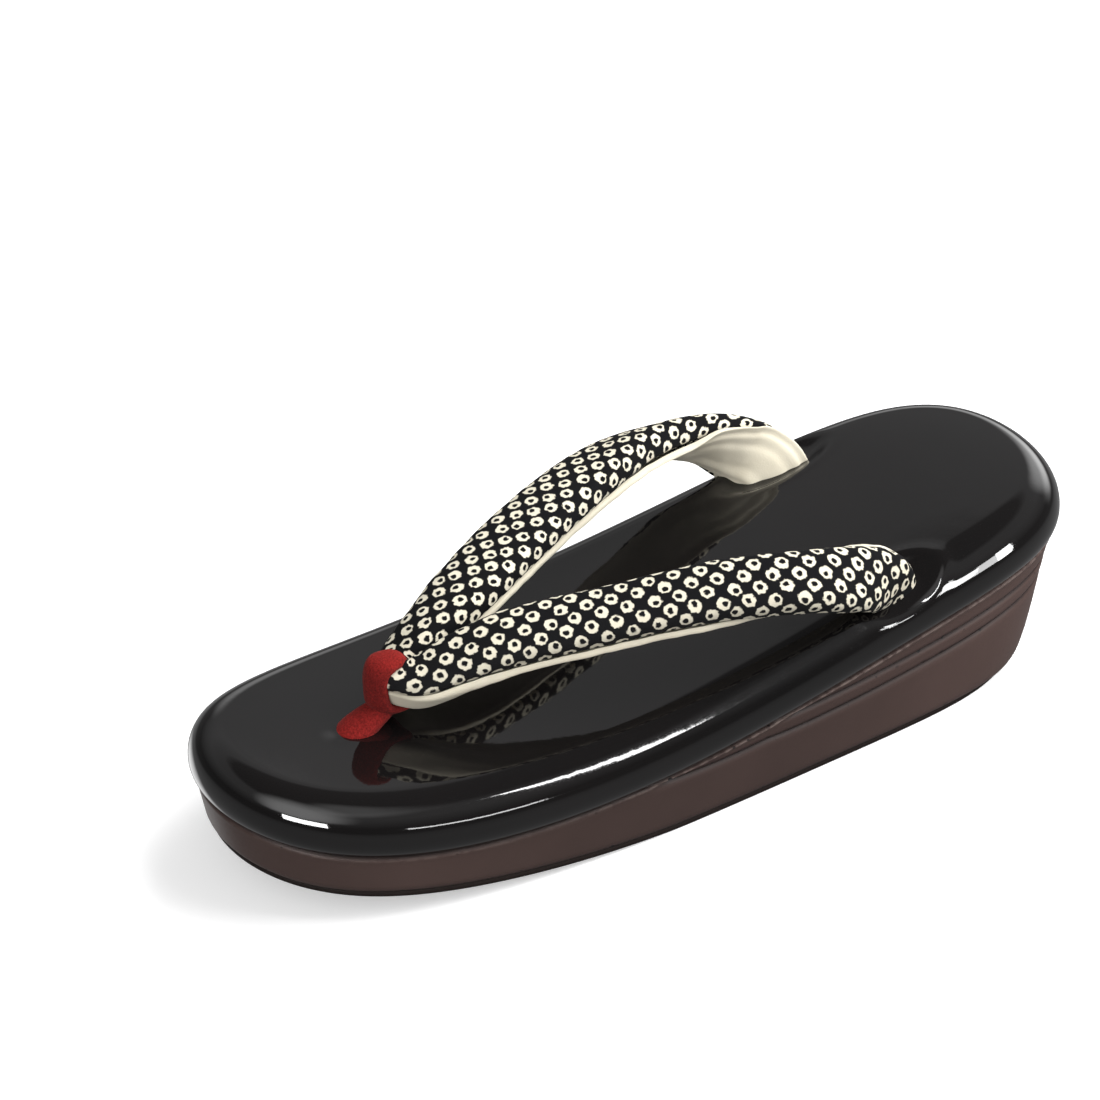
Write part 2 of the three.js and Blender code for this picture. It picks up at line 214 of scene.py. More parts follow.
def grid_faces(rows, columns, closed_columns=False, closed_rows=False, flip=False):
    faces = []
    for i in range(rows if closed_rows else rows - 1):
        k = (i + 1) % rows
        for j in range(columns if closed_columns else columns - 1):
            m = (j + 1) % columns
            quad = (i * columns + j, i * columns + m, k * columns + m, k * columns + j)
            faces.append(quad[::-1] if flip else quad)
    return faces


WELD_DIGITS = 4


def welded(points, faces, attributes):
    """Joins points that fall together, as on the middle line, and drops the faces that vanish."""
    key = np.round(points, WELD_DIGITS)
    _, first, inverse = np.unique(key, axis=0, return_index=True, return_inverse=True)
    inverse = inverse.ravel()
    kept = []
    for face in faces:
        corner = [int(inverse[i]) for i in face]
        clean = [c for i, c in enumerate(corner) if c != corner[i - 1]]
        if len(set(clean)) == len(clean) and len(clean) > 2:
            kept.append(clean)
    return points[first], kept, {k: v[first] for k, v in attributes.items()}


# Places of the colour sockets on a Mix node
MIX_A = 6
MIX_B = 7
MIX_RESULT = 2


class Shader:
    """A node material with short helpers."""

    def __init__(self, name):
        self.material = bpy.data.materials.new(name)
        self.material.use_nodes = True
        self.tree = self.material.node_tree
        self.surface = self.tree.nodes["Principled BSDF"]

    def node(self, kind, **settings):
        made = self.tree.nodes.new(kind)
        for key, value in settings.items():
            setattr(made, key, value)
        return made

    def link(self, source, target):
        self.tree.links.new(source, target)

    def feed(self, socket, value):
        if hasattr(value, "is_linked"):
            self.link(value, socket)
        else:
            socket.default_value = value

    def math(self, operation, a, b=None, clamp=False):
        made = self.node("ShaderNodeMath", operation=operation, use_clamp=clamp)
        self.feed(made.inputs[0], a)
        if b is not None:
            self.feed(made.inputs[1], b)
        return made.outputs[0]

    def vector(self, operation, a, b=None):
        made = self.node("ShaderNodeVectorMath", operation=operation)
        self.feed(made.inputs[0], a)
        if b is not None:
            self.feed(made.inputs[1], b)
        return made.outputs["Value"] if operation == "LENGTH" else made.outputs[0]

    def separate(self, vector):
        made = self.node("ShaderNodeSeparateXYZ")
        self.link(vector, made.inputs[0])
        return made.outputs

    def attribute(self, name):
        return self.node("ShaderNodeAttribute", attribute_name=name)

    def position(self):
        return self.node("ShaderNodeTexCoord").outputs["Object"]

    def noise_node(self, vector, scale, detail, roughness=0.5):
        made = self.node("ShaderNodeTexNoise")
        self.feed(made.inputs["Vector"], vector)
        made.inputs["Scale"].default_value = scale
        made.inputs["Detail"].default_value = detail
        made.inputs["Roughness"].default_value = roughness
        return made

    def noise(self, vector, **settings):
        return self.noise_node(vector, **settings).outputs["Fac"]

    def ramp(self, value, low, high):
        made = self.node("ShaderNodeMapRange", clamp=True, interpolation_type="SMOOTHSTEP")
        self.feed(made.inputs["Value"], value)
        made.inputs["From Min"].default_value = low
        made.inputs["From Max"].default_value = high
        return made.outputs["Result"]

    def spread(self, value, low, high):
        made = self.node("ShaderNodeMapRange")
        self.feed(made.inputs["Value"], value)
        made.inputs["To Min"].default_value = low
        made.inputs["To Max"].default_value = high
        return made.outputs["Result"]

    def mix(self, share, a, b):
        made = self.node("ShaderNodeMix", data_type="RGBA")
        self.feed(made.inputs["Factor"], share)
        self.feed(made.inputs[MIX_A], a)
        self.feed(made.inputs[MIX_B], b)
        return made.outputs[MIX_RESULT]

    def bump(self, height, strength, distance_mm, below=None):
        made = self.node("ShaderNodeBump")
        made.inputs["Strength"].default_value = strength
        made.inputs["Distance"].default_value = distance_mm * MM
        self.feed(made.inputs["Height"], height)
        if below is not None:
            self.link(below, made.inputs["Normal"])
        return made.outputs["Normal"]

    def set(self, **sockets):
        for key, value in sockets.items():
            self.feed(self.surface.inputs[key.replace("_", " ")], value)


# Black enamel: nearly black, mirror gloss with slow waves
ENAMEL = {
    "colours": ((0.003, 0.003, 0.003, 1), (0.006, 0.005, 0.005, 1)),
    "tint": {"scale": 25.0, "detail": 2.0},
    "specks": {"scale": 900.0, "detail": 2.0},
    "roughness": (0.03, 0.06),
    "grain": {"scale": 330.0, "detail": 3.0, "roughness": 0.55},
    "grain_bump": {"strength": 0.10, "distance_mm": 0.10},
    "waves": {"scale": 60.0, "detail": 2.0},
    "wave_bump": {"strength": 0.10, "distance_mm": 0.6},
    "ior": 1.5,
}


def enamel_material():
    s = Shader("black_enamel")
    place = s.position()
    tint = s.noise(place, **ENAMEL["tint"])
    specks = s.noise(place, **ENAMEL["specks"])
    grain = s.noise(place, **ENAMEL["grain"])
    waves = s.bump(s.noise(place, **ENAMEL["waves"]), **ENAMEL["wave_bump"])
    s.set(
        Base_Color=s.mix(tint, *ENAMEL["colours"]),
        Roughness=s.spread(specks, *ENAMEL["roughness"]),
        Normal=s.bump(grain, **ENAMEL["grain_bump"], below=waves),
        IOR=ENAMEL["ior"],
    )
    return s.material


# Brown cover: satin, with painted light: lighter at both ends than at the waist, a painted highlight along
# its top rim, painted shade in its creases, and dark specks near them
BROWN = {
    "middle": ((0.039, 0.0245, 0.0213, 1), (0.054, 0.0343, 0.0302, 1)),
    "ends": ((0.055, 0.0345, 0.0300, 1), (0.076, 0.0483, 0.0425, 1)),
    "rim_highlight": (0.135, 0.100, 0.088, 1),
    "crease": (0.004, 0.003, 0.003, 1),
    "waist_to_centre_m": 0.01,
    "from_waist_m": (0.02, 0.095),
    "cloud": {"scale": 45.0, "detail": 3.0},
    "highlight_breaks": {"scale": 420.0, "detail": 2.0},
    "highlight_break_range": (0.35, 0.6),
    "dark_specks": {"scale": 480.0, "detail": 1.0},
    "speck_range": (0.69, 0.72),
    "breaks": {"scale": 90.0, "detail": 2.0},
    "break_range": (0.5, 1.0),
    "grain": {"scale": 1400.0, "detail": 4.0, "roughness": 0.6},
    "grain_bump": {"strength": 0.12, "distance_mm": 0.12},
    "roughness": (0.42, 0.54),
    "specular": 0.14,
}


def brown_material():
    s = Shader("brown_cover")
    place = s.position()
    grain = s.noise(place, **BROWN["grain"])
    cloud = s.noise(place, **BROWN["cloud"])
    along = s.math("ADD", s.separate(place)["Y"], BROWN["waist_to_centre_m"])
    from_waist = s.ramp(s.math("ABSOLUTE", along), *BROWN["from_waist_m"])
    # painted light: the cover is made lighter towards both ends than at the waist
    plain = s.mix(from_waist, s.mix(cloud, *BROWN["middle"]), s.mix(cloud, *BROWN["ends"]))
    # painted highlight along the top rim, broken up by noise
    highlight_breaks = s.ramp(s.noise(place, **BROWN["highlight_breaks"]), *BROWN["highlight_break_range"])
    rim_highlight = s.math("MULTIPLY", s.attribute("rim").outputs["Fac"], highlight_breaks)
    # dark specks scattered near the crease edges
    dark_specks = s.ramp(s.noise(place, **BROWN["dark_specks"]), *BROWN["speck_range"])
    dark_specks = s.math("MULTIPLY", dark_specks, s.attribute("speck_zone").outputs["Fac"])
    # painted shade in the creases, broken up by noise
    breaks = s.spread(s.noise(place, **BROWN["breaks"]), *BROWN["break_range"])
    crease = s.math("MULTIPLY", s.attribute("crease").outputs["Fac"], breaks)
    shade = s.math("MAXIMUM", crease, dark_specks, clamp=True)
    s.set(
        Base_Color=s.mix(shade, s.mix(rim_highlight, plain, BROWN["rim_highlight"]), BROWN["crease"]),
        Roughness=s.spread(grain, *BROWN["roughness"]),
        Normal=s.bump(grain, **BROWN["grain_bump"]),
        Specular_IOR_Level=BROWN["specular"],
    )
    return s.material


# Outsole: a dull dark sheet
SOLE = {
    "colours": ((0.010, 0.007, 0.006, 1), (0.018, 0.012, 0.0105, 1)),
    "grain": {"scale": 700.0, "detail": 4.0},
    "grain_bump": {"strength": 0.3, "distance_mm": 0.2},
    "roughness": (0.6, 0.85),
    "specular": 0.08,
}


def sole_material():
    s = Shader("outsole")
    grain = s.noise(s.position(), **SOLE["grain"])
    s.set(
        Base_Color=s.mix(grain, *SOLE["colours"]),
        Roughness=s.spread(grain, *SOLE["roughness"]),
        Normal=s.bump(grain, **SOLE["grain_bump"]),
        Specular_IOR_Level=SOLE["specular"],
    )
    return s.material


# Dotted cloth: cream rings with six soft petals, set on a grid that is turned to the strap
DOT_PITCH = 4.47
DOT_TURN = math.radians(45)
DOT_OUTER = 0.365
DOT_INNER = 0.16
DOT_SOFT = 0.03
DOT_PETALS = 6.0
DOT_SCALLOP = 0.013
CELL_MIDDLE = (0.5, 0.5, 0.0)
NOISE_MIDDLE = 0.5
NOISE_MIDDLES = (NOISE_MIDDLE, NOISE_MIDDLE, NOISE_MIDDLE)
CLOTH = {
    "cream": ((0.50, 0.46, 0.35, 1), (0.78, 0.735, 0.61, 1)),
    "black": ((0.002, 0.002, 0.0025, 1), (0.008, 0.008, 0.009, 1)),
    "wobble": {"scale": 0.9, "detail": 2.0},
    "wobble_reach": (0.9, 0.9, 0.0),
    "jitter": (0.12, 0.12, 0.0),
    "eye_shift": (1.7, -1.7, 0.0),
    "ragged": {"scale": 1.3, "detail": 2.0},
    "ragged_outer": 0.15,
    "ragged_inner": -0.12,
    "weave": {"scale": 5.0, "detail": 3.0, "roughness": 0.6},
    "weave_relief": 0.5,
    "bump": {"strength": 0.45, "distance_mm": 0.35},
    "roughness": 0.88,
    "specular": 0.12,
}


def cloth_material():
    s = Shader("dotted_cloth")
    cloth = s.attribute("cloth_mm").outputs["Vector"]
    wobble = s.noise_node(cloth, **CLOTH["wobble"]).outputs["Color"]
    shift = s.vector("SUBTRACT", wobble, NOISE_MIDDLES)
    moved = s.vector("ADD", cloth, s.vector("MULTIPLY", shift, CLOTH["wobble_reach"]))
    turned = s.node("ShaderNodeMapping")
    s.link(moved, turned.inputs["Vector"])
    turned.inputs["Rotation"].default_value = (0, 0, DOT_TURN)
    turned.inputs["Scale"].default_value = (1 / DOT_PITCH, 1 / DOT_PITCH, 0.0)
    cell = s.vector("FLOOR", turned.outputs[0])
    inside = s.vector("SUBTRACT", s.vector("FRACTION", turned.outputs[0]), CELL_MIDDLE)
    chance = s.node("ShaderNodeTexWhiteNoise", noise_dimensions="3D")
    s.link(cell, chance.inputs["Vector"])
    chance_shift = s.vector("SUBTRACT", chance.outputs["Color"], NOISE_MIDDLES)
    jitter = s.vector("MULTIPLY", chance_shift, CLOTH["jitter"])
    centred = s.vector("ADD", inside, jitter)
    ragged = s.math("SUBTRACT", s.noise(cloth, **CLOTH["ragged"]), NOISE_MIDDLE)
    parts = s.separate(centred)
    round_about = s.math("MULTIPLY", s.math("ARCTAN2", parts["Y"], parts["X"]), DOT_PETALS)
    start = s.math("MULTIPLY", chance.outputs["Value"], FULL_TURN)
    petals = s.math("COSINE", s.math("ADD", round_about, start))
    uneven = s.math("ADD", s.math("MULTIPLY", ragged, CLOTH["ragged_outer"]),
                    s.math("MULTIPLY", petals, DOT_SCALLOP))
    outer = s.math("ADD", s.vector("LENGTH", centred), uneven)
    eye = s.vector("ADD", centred, s.vector("MULTIPLY", jitter, CLOTH["eye_shift"]))
    inner = s.math("ADD", s.vector("LENGTH", eye), s.math("MULTIPLY", ragged, CLOTH["ragged_inner"]))
    blob = s.math("SUBTRACT", 1.0, s.ramp(outer, DOT_OUTER - DOT_SOFT, DOT_OUTER + DOT_SOFT))
    hole = s.ramp(inner, DOT_INNER - DOT_SOFT, DOT_INNER + DOT_SOFT)
    ring = s.math("MULTIPLY", blob, hole)
    weave = s.noise(cloth, **CLOTH["weave"])
    relief = s.math("ADD", ring, s.math("MULTIPLY", weave, CLOTH["weave_relief"]))
    s.set(
        Base_Color=s.mix(ring, s.mix(weave, *CLOTH["black"]), s.mix(weave, *CLOTH["cream"])),
        Roughness=CLOTH["roughness"],
        Normal=s.bump(relief, **CLOTH["bump"]),
        Specular_IOR_Level=CLOTH["specular"],
    )
    return s.material


# Cream lining: short matt nap
LINING = {
    "colours": ((0.58, 0.53, 0.41, 1), (0.71, 0.66, 0.54, 1)),
    "cloud": {"scale": 120.0, "detail": 3.0},
    "nap": {"scale": 2600.0, "detail": 4.0, "roughness": 0.65},
    "nap_bump": {"strength": 0.35, "distance_mm": 0.25},
    "roughness": 0.95,
    "sheen": 0.1,
    "sheen_roughness": 0.5,
    "specular": 0.1,
}


def lining_material():
    s = Shader("cream_lining")
    place = s.position()
    s.set(
        Base_Color=s.mix(s.noise(place, **LINING["cloud"]), *LINING["colours"]),
        Roughness=LINING["roughness"],
        Normal=s.bump(s.noise(place, **LINING["nap"]), **LINING["nap_bump"]),
        Sheen_Weight=LINING["sheen"],
        Sheen_Roughness=LINING["sheen_roughness"],
        Specular_IOR_Level=LINING["specular"],
    )
    return s.material


# Red cloth: mottled short nap
RED = {
    "colours": ((0.085, 0.0045, 0.004, 1), (0.24, 0.0145, 0.012, 1)),
    "cloud": {"scale": 2300.0, "detail": 4.0, "roughness": 0.7},
    "cloud_range": (0.3, 0.7),
    "nap": {"scale": 1600.0, "detail": 5.0, "roughness": 0.7},
    "nap_bump": {"strength": 0.5, "distance_mm": 0.3},
    "roughness": 0.95,
    "sheen": 0.08,
    "sheen_roughness": 0.45,
    "sheen_tint": (1.0, 0.35, 0.3, 1),
    "specular": 0.12,
}


def red_material():
    s = Shader("red_cloth")
    place = s.position()
    cloud = s.ramp(s.noise(place, **RED["cloud"]), *RED["cloud_range"])
    s.set(
        Base_Color=s.mix(cloud, *RED["colours"]),
        Roughness=RED["roughness"],
        Normal=s.bump(s.noise(place, **RED["nap"]), **RED["nap_bump"]),
        Sheen_Weight=RED["sheen"],
        Sheen_Roughness=RED["sheen_roughness"],
        Sheen_Tint=RED["sheen_tint"],
        Specular_IOR_Level=RED["specular"],
    )
    return s.material


# Cushion
CUSHION_ANGLES = 512
TUCK_STEPS = 10
SHOULDER_STEPS = 26
INNER_STEPS = 34
SPINE_REACH = 84.0
CROWN = 0.3
# how far in the flat underside and the start of the tucked edge lie, and how far up
UNDERSIDE = {"deep": 6.0, "near": 1.0, "lip": 0.4, "lip_rise": 0.05, "tuck_rise": 0.1}
FRONT_DENT = {"x": 2.6, "y": -84.4, "depth": 0.3, "radius": 3.8}
REAR_DENTS = (
    {"x": 31.4, "y": 54.8, "half_x": 4.2, "half_y": 7.0, "depth": 2.2, "reach": 4.6, "ridge": 0.6},
    {"x": -27.4, "y": 59.8, "half_x": 4.4, "half_y": 10.2, "depth": 1.6, "reach": 3.4, "ridge": 0.1},
)
RIDGE = {"wide": 1.4, "fade": (-16.0, -5.0)}
HEEL_DOME = {"y": 55.0, "half_x": 40.0, "half_y": 65.0, "start": 0.45, "full": 1.0, "depth": 0.9,
             "raise": 0.55, "from": (48.0, 88.0)}


def dent_depth(x, y):
    """How far the top is pressed in at the three holes and falls off round the heel."""
    away = np.hypot(x - FRONT_DENT["x"], y - FRONT_DENT["y"]) / FRONT_DENT["radius"]
    depth = FRONT_DENT["depth"] * np.exp(-away ** 2)
    for dent in REAR_DENTS:
        reach = np.hypot((x - dent["x"]) / dent["half_x"], (y - dent["y"]) / dent["half_y"])
        beyond = (reach - 1) * dent["half_x"]
        depth = depth + dent["depth"] * (1 - smooth_step(0.0, dent["reach"], beyond))
        ridge = dent["ridge"] * np.exp(-((beyond - dent["reach"]) / RIDGE["wide"]) ** 2)
        depth = depth - ridge * smooth_step(*RIDGE["fade"], y - dent["y"])
    dome = HEEL_DOME
    outward = np.hypot(x / dome["half_x"], (y - dome["y"]) / dome["half_y"])
    share = np.clip((outward - dome["start"]) / (dome["full"] - dome["start"]), 0, 1)
    return depth + (dome["depth"] * share ** 2 - dome["raise"]) * smooth_step(*dome["from"], y)


def edge_profile():
    """Inset and rise of the cushion's rings, from the underside round the tucked edge to the shoulder."""
    profile = [
        (COVER_INSET + UNDERSIDE["deep"], GAP),
        (COVER_INSET + UNDERSIDE["near"], GAP),
        (EDGE["tuck"] + UNDERSIDE["lip"], GAP + UNDERSIDE["lip_rise"]),
    ]
    drop = EDGE["rise"] - GAP - UNDERSIDE["tuck_rise"]
    for i in range(TUCK_STEPS + 1):
        turn = i / TUCK_STEPS * QUARTER_TURN
        profile.append((EDGE["tuck"] * (1 - np.sin(turn)), EDGE["rise"] - drop * np.cos(turn)))
    for i in range(1, SHOULDER_STEPS + 1):
        turn = i / SHOULDER_STEPS * QUARTER_TURN
        profile.append((EDGE["reach"] * (1 - np.cos(turn)), EDGE["rise"] + EDGE["round"] * np.sin(turn)))
    return profile


def build_cushion(material):
    angle = around(CUSHION_ANGLES)
    outline = plan_point(angle, TOP_PLAN)
    normal = plan_normal(angle)
    on_left = np.sin(angle) >= 0
    rings = []
    for inset, rise in edge_profile():
        p = outline - inset * normal
        p[:, 0] = np.where(on_left, np.maximum(p[:, 0], 0), np.minimum(p[:, 0], 0))
        rings.append(np.column_stack([p, line_height(p[:, 1]) + rise]))
    shoulder = rings[-1]
    spine = np.column_stack([np.zeros(CUSHION_ANGLES), -SPINE_REACH * np.cos(angle)])
    for i in range(1, INNER_STEPS + 1):
        share = i / INNER_STEPS
        p = shoulder[:, :2] * (1 - share) + spine * share
        rise = EDGE["rise"] + EDGE["round"] + CROWN * (1 - (1 - share) ** 2)
        rings.append(np.column_stack([p, line_height(p[:, 1]) + rise]))
    points = np.array(rings)
    over_line = points[..., 2] - line_height(points[..., 1])
    top_share = smooth_step(EDGE["rise"], EDGE["rise"] + EDGE["round"], over_line)
    points[..., 2] -= top_share * dent_depth(points[..., 0], points[..., 1])
    under = np.column_stack([spine, line_height(spine[:, 1]) + GAP])
    points = np.concatenate([under[None], points])
    faces = grid_faces(len(points), CUSHION_ANGLES, closed_columns=True)
    flat, kept, _ = welded(points.reshape(-1, 3), faces, {})
    piece = mesh_piece("cushion_cover", flat, kept, {}, material, ["top_board"])


# Brown layers
LAYER_ANGLES = 360
LAYER_LEVELS = 17
LAYER_BULGE = 0.75
BASE_BULGE = 0.75
BULGE_REACH = 1.6
# a layer thinner than this swells less, where it runs out to nothing
FULL_SWELL_THICK = 3.0
THINNEST = 1e-3
# the painted crease shade reaches further onto the layer below a crease than onto the layer above it
CREASE_BELOW = 1.1
CREASE_ABOVE = 0.45
# the heel's end bows out towards the floor
HEEL_BOW = {"size": 5.6, "from": 60.0, "to": 112.0}
# dark specks are scattered within this distance of a crease edge
SPECK_ZONE = (0.4, 1.5)
# the top rim swells out a little and carries a painted highlight, weaker at the toe than at the heel
RIM = {"below": 0.7, "toe_reach": 0.24, "heel_reach": 0.4, "swell": 0.5, "toe_highlight": 0.45}
HEELWARD = (-70.0, 40.0)
SPINE_SHARE = 0.9


def height_between(bottom_of, top_of, share):
    """The height that lies a share of the way from one height along the shoe to another."""
    return lambda y: bottom_of(y) + (top_of(y) - bottom_of(y)) * share


def spine_at(ring, height_of):
    """Points on the middle line under or over a ring, which close a layer."""
    y = ring[:, 1] * SPINE_SHARE
    return np.column_stack([np.zeros(len(ring)), y, height_of(y)])


def with_ends(rows):
    """One value a point for rows of rings, with the first and the last row again for the middle line."""
    return np.array([rows[0]] + rows + [rows[-1]]).ravel()


def build_layer(name, node, bottom_of, top_of, bulge, material):
    """One wrapped layer: its side swells between its two creases, which get painted shade, and the rim under
    the black top gets a painted highlight.
    """
    angle = around(LAYER_ANGLES)
    normal = plan_normal(angle)
    rings = []
    creases = []
    rims = []
    zones = []
    for level in range(LAYER_LEVELS):
        share = (1 - math.cos(math.pi * level / (LAYER_LEVELS - 1))) / 2
        ring = cover_at(angle, height_between(bottom_of, top_of, share), np.zeros(LAYER_ANGLES))
        y, z = ring[:, 1], ring[:, 2]
        thick = np.maximum(top_of(y) - bottom_of(y), THINNEST)
        edge = np.minimum(share, 1 - share) * thick
        rounded = 1 - (1 - np.clip(edge / BULGE_REACH, 0, 1)) ** 2
        swell = bulge * np.minimum(thick / FULL_SWELL_THICK, 1.0) * rounded
        below = line_height(y) - z
        floor_z = bottom_height(y)
        up = np.clip((z - floor_z) / (z - floor_z + below), 0, 1)
        bow = HEEL_BOW["size"] * (1 - up) ** 2 * np.sqrt(up)
        bow = bow * smooth_step(HEEL_BOW["from"], HEEL_BOW["to"], y)
        heelward = smooth_step(*HEELWARD, y)
        reach = RIM["toe_reach"] + (RIM["heel_reach"] - RIM["toe_reach"]) * heelward
        rim = np.exp(-((below - RIM["below"]) / reach) ** 2)
        under = 1 - smooth_step(0.0, CREASE_BELOW, (1 - share) * thick)
        over = 1 - smooth_step(0.0, CREASE_ABOVE, share * thick)
        ring[:, :2] += (swell + bow + RIM["swell"] * rim)[:, None] * normal
        rings.append(ring)
        # painted shade at the crease edges, kept off the rim
        creases.append(np.maximum(under, over) * (1 - rim))
        zones.append(1 - smooth_step(*SPECK_ZONE, edge))
        # painted highlight along the rim, weaker towards the toe
        rims.append(rim * (RIM["toe_highlight"] + (1 - RIM["toe_highlight"]) * heelward))
    points = np.array([spine_at(rings[0], bottom_of)] + rings + [spine_at(rings[-1], top_of)])
    marks = {"crease": with_ends(creases), "rim": with_ends(rims), "speck_zone": with_ends(zones)}
    faces = grid_faces(len(points), LAYER_ANGLES, closed_columns=True)
    flat, kept, marks = welded(points.reshape(-1, 3), faces, marks)
    mesh_piece(name, flat, kept, marks, material, [node])


# Outsole sheet
SHEET = {"inset": -0.35, "round": 0.3}


def build_outsole(material):
    angle = around(LAYER_ANGLES)
    flush = np.zeros(LAYER_ANGLES)
    inset = np.full(LAYER_ANGLES, SHEET["inset"])
    low = cover_at(angle, bottom_height, inset)
    edge = cover_at(angle, lambda y: bottom_height(y) + SHEET["round"], flush)
    brim = cover_at(angle, lambda y: outsole_top(y) - SHEET["round"], flush)
    high = cover_at(angle, outsole_top, inset)
    under = spine_at(low, bottom_height)
    over = under + (0, 0, OUTSOLE_THICK)
    points = np.array([under, low, edge, brim, high, over])
    faces = grid_faces(len(points), LAYER_ANGLES, closed_columns=True)
    flat, kept, _ = welded(points.reshape(-1, 3), faces, {})
    mesh_piece("sole_sheet", flat, kept, {}, material, ["outsole"])


# Straps
STRAP_STATIONS = 360
SPLINE_READS = 4000
CLOTH_SIDES = 56
LINING_SIDES = 40
SECTION_POWER = 0.66
# seams between cloth and lining, as angles round the strap, and where along it they rise or drop
SEAM_ANGLE = math.radians(-6)
SEAM_RISE = math.radians(26)
SEAM_RISE_REACH = 22.0
SEAM_REAR_DROP = math.radians(-26)
SEAM_DROP_FROM_END = (75.0, 50.0)
INNER_SEAM = math.radians(-45)
INNER_REAR_LIFT = {"left": math.radians(14), "right": math.radians(22)}
INNER_LIFT_FROM_END = (36.0, 25.0)
# edges of cloth and lining sink into the seams, as shares of the way round
CLOTH_EDGE = {"sink": 0.5, "reach": 0.08}
LINING_EDGE = {"swell": 0.5, "swell_reach": 0.06, "sink": 0.35, "sink_reach": 0.05}
# lip at the inner seam, welt at the outer seam, and where the welt ends the lining tucks in
LIP = {"grow": 1.5, "at": 0.06, "reach": 0.06, "rear": 0.5, "from_end": (26.0, 38.0),
       "from_fold": (4.0, 16.0)}
WELT = {"grow": 0.6, "from_end": (42.0, 66.0), "from_fold": (4.0, 11.0)}
TUCK = {"sink": 0.7, "reach": 0.25}
FOLDS = {"count": 9, "height": 0.24, "from_end": (46.0, 18.0)}
RUFFLE = {"size": 5.0, "seed": 3, "height": 0.18}
FRAY = {"size": 4.0, "seed": 11, "height": 0.22}


def strap_rows():
    """Rows of the whole strap, from the right hole over the fold to the left hole."""
    right = np.array(RIGHT_ARM[::-1]) * MIRROR_ROW
    return np.concatenate([right, np.array([FOLD]), np.array(LEFT_ARM)])


def smooth_rows(rows, count):
    """A spline through the rows, read at evenly spaced places along its length."""
    place = np.linspace(0, len(rows) - 1, SPLINE_READS)
    low = np.minimum(place.astype(int), len(rows) - 2)
    t = (place - low)[:, None]
    before, start, end, after = (rows[np.clip(low + k, 0, len(rows) - 1)] for k in (-1, 0, 1, 2))
    into = (end - before) / 2
    out = (after - start) / 2
    read = ((2 * start - 2 * end + into + out) * t ** 3 + (3 * end - 3 * start - 2 * into - out) * t ** 2
            + into * t + start)
    run = np.concatenate([[0], np.cumsum(np.linalg.norm(np.diff(read[:, PLACE], axis=0), axis=1))])
    wanted = np.linspace(0, run[-1], count)
    return wanted, np.column_stack([np.interp(wanted, run, read[:, k]) for k in range(rows.shape[1])])


def strap_frame():
    """The strap's path, the directions across it and out of its face, its sizes and its seams."""
    run, rows = smooth_rows(strap_rows(), STRAP_STATIONS)
    path = rows[:, PLACE]
    along = unit(np.gradient(path, axis=0))
    across = rows[:, ACROSS]
    across = unit(across - (across * along).sum(1, keepdims=True) * along)
    from_end = np.minimum(run, run[-1] - run)
    from_fold = np.abs(run - run[np.argmin(np.abs(path[:, 0]))])
    seam = SEAM_ANGLE + SEAM_RISE * np.exp(-(from_fold / SEAM_RISE_REACH) ** 2)
    lift = np.where(path[:, 0] > 0, INNER_REAR_LIFT["left"], INNER_REAR_LIFT["right"])
    strap = {name: rows[:, STRAP_COLUMNS.index(name)] for name in ("half", "over", "under")}
    strap.update(run=run, path=path, across=across, face=np.cross(across, along))
    strap.update(from_end=from_end, from_fold=from_fold)
    strap["outer_seam"] = seam + SEAM_REAR_DROP * smooth_step(*SEAM_DROP_FROM_END, from_end)
    strap["inner_seam"] = INNER_SEAM + lift * smooth_step(*INNER_LIFT_FROM_END, from_end)
    return strap


def section(turn, half, over, under):
    """A rounded flat section at an angle: the place across the strap and out of its face."""
    c = np.cos(turn)
    s = np.sin(turn)
    u = half * signed_power(c, SECTION_POWER)
    n = np.where(s > 0, over, under) * signed_power(s, SECTION_POWER)
    return u, n


def ring_points(strap, shares, start, end, swell):
    """Lines along the strap between two angles, and how far each lies round it from the first."""
    rings = []
    marks = []
    length = np.zeros(STRAP_STATIONS)
    last = None
    for share, grow in zip(shares, swell):
        turn = start + (end - start) * share
        u, n = section(turn, strap["half"] + grow, strap["over"] + grow, strap["under"] + grow)
        if last is not None:
            length = length + np.hypot(u - last[0], n - last[1])
        last = (u, n)
        rings.append(strap["path"] + u[:, None] * strap["across"] + n[:, None] * strap["face"])
        marks.append(length)
    return np.array(rings), np.array(marks)


def raised(points, strap, height):
    """Points moved out from the strap's path."""
    return points + unit(points - strap["path"][None]) * height[..., None]


def build_cloth(strap, material):
    share = np.linspace(0, 1, CLOTH_SIDES)
    edge = np.minimum(share, 1 - share)
    swell = -CLOTH_EDGE["sink"] * (1 - smooth_step(0.0, CLOTH_EDGE["reach"], edge))
    points, girth = ring_points(strap, share, strap["outer_seam"], math.pi - strap["inner_seam"], swell)
    girth = girth - girth[-1][None] / 2
    lengths = np.broadcast_to(strap["run"] - strap["run"][-1] / 2, girth.shape)
    pattern = np.stack([lengths, girth, np.zeros_like(girth)], axis=-1)
    points = raised(points, strap, noise_on(points, **RUFFLE))
    faces = grid_faces(CLOTH_SIDES, STRAP_STATIONS, flip=True)
    return mesh_piece("strap_cloth", points.reshape(-1, 3), faces, {"cloth_mm": pattern.reshape(-1, 3)},
                      material, ["hanao_straps"])


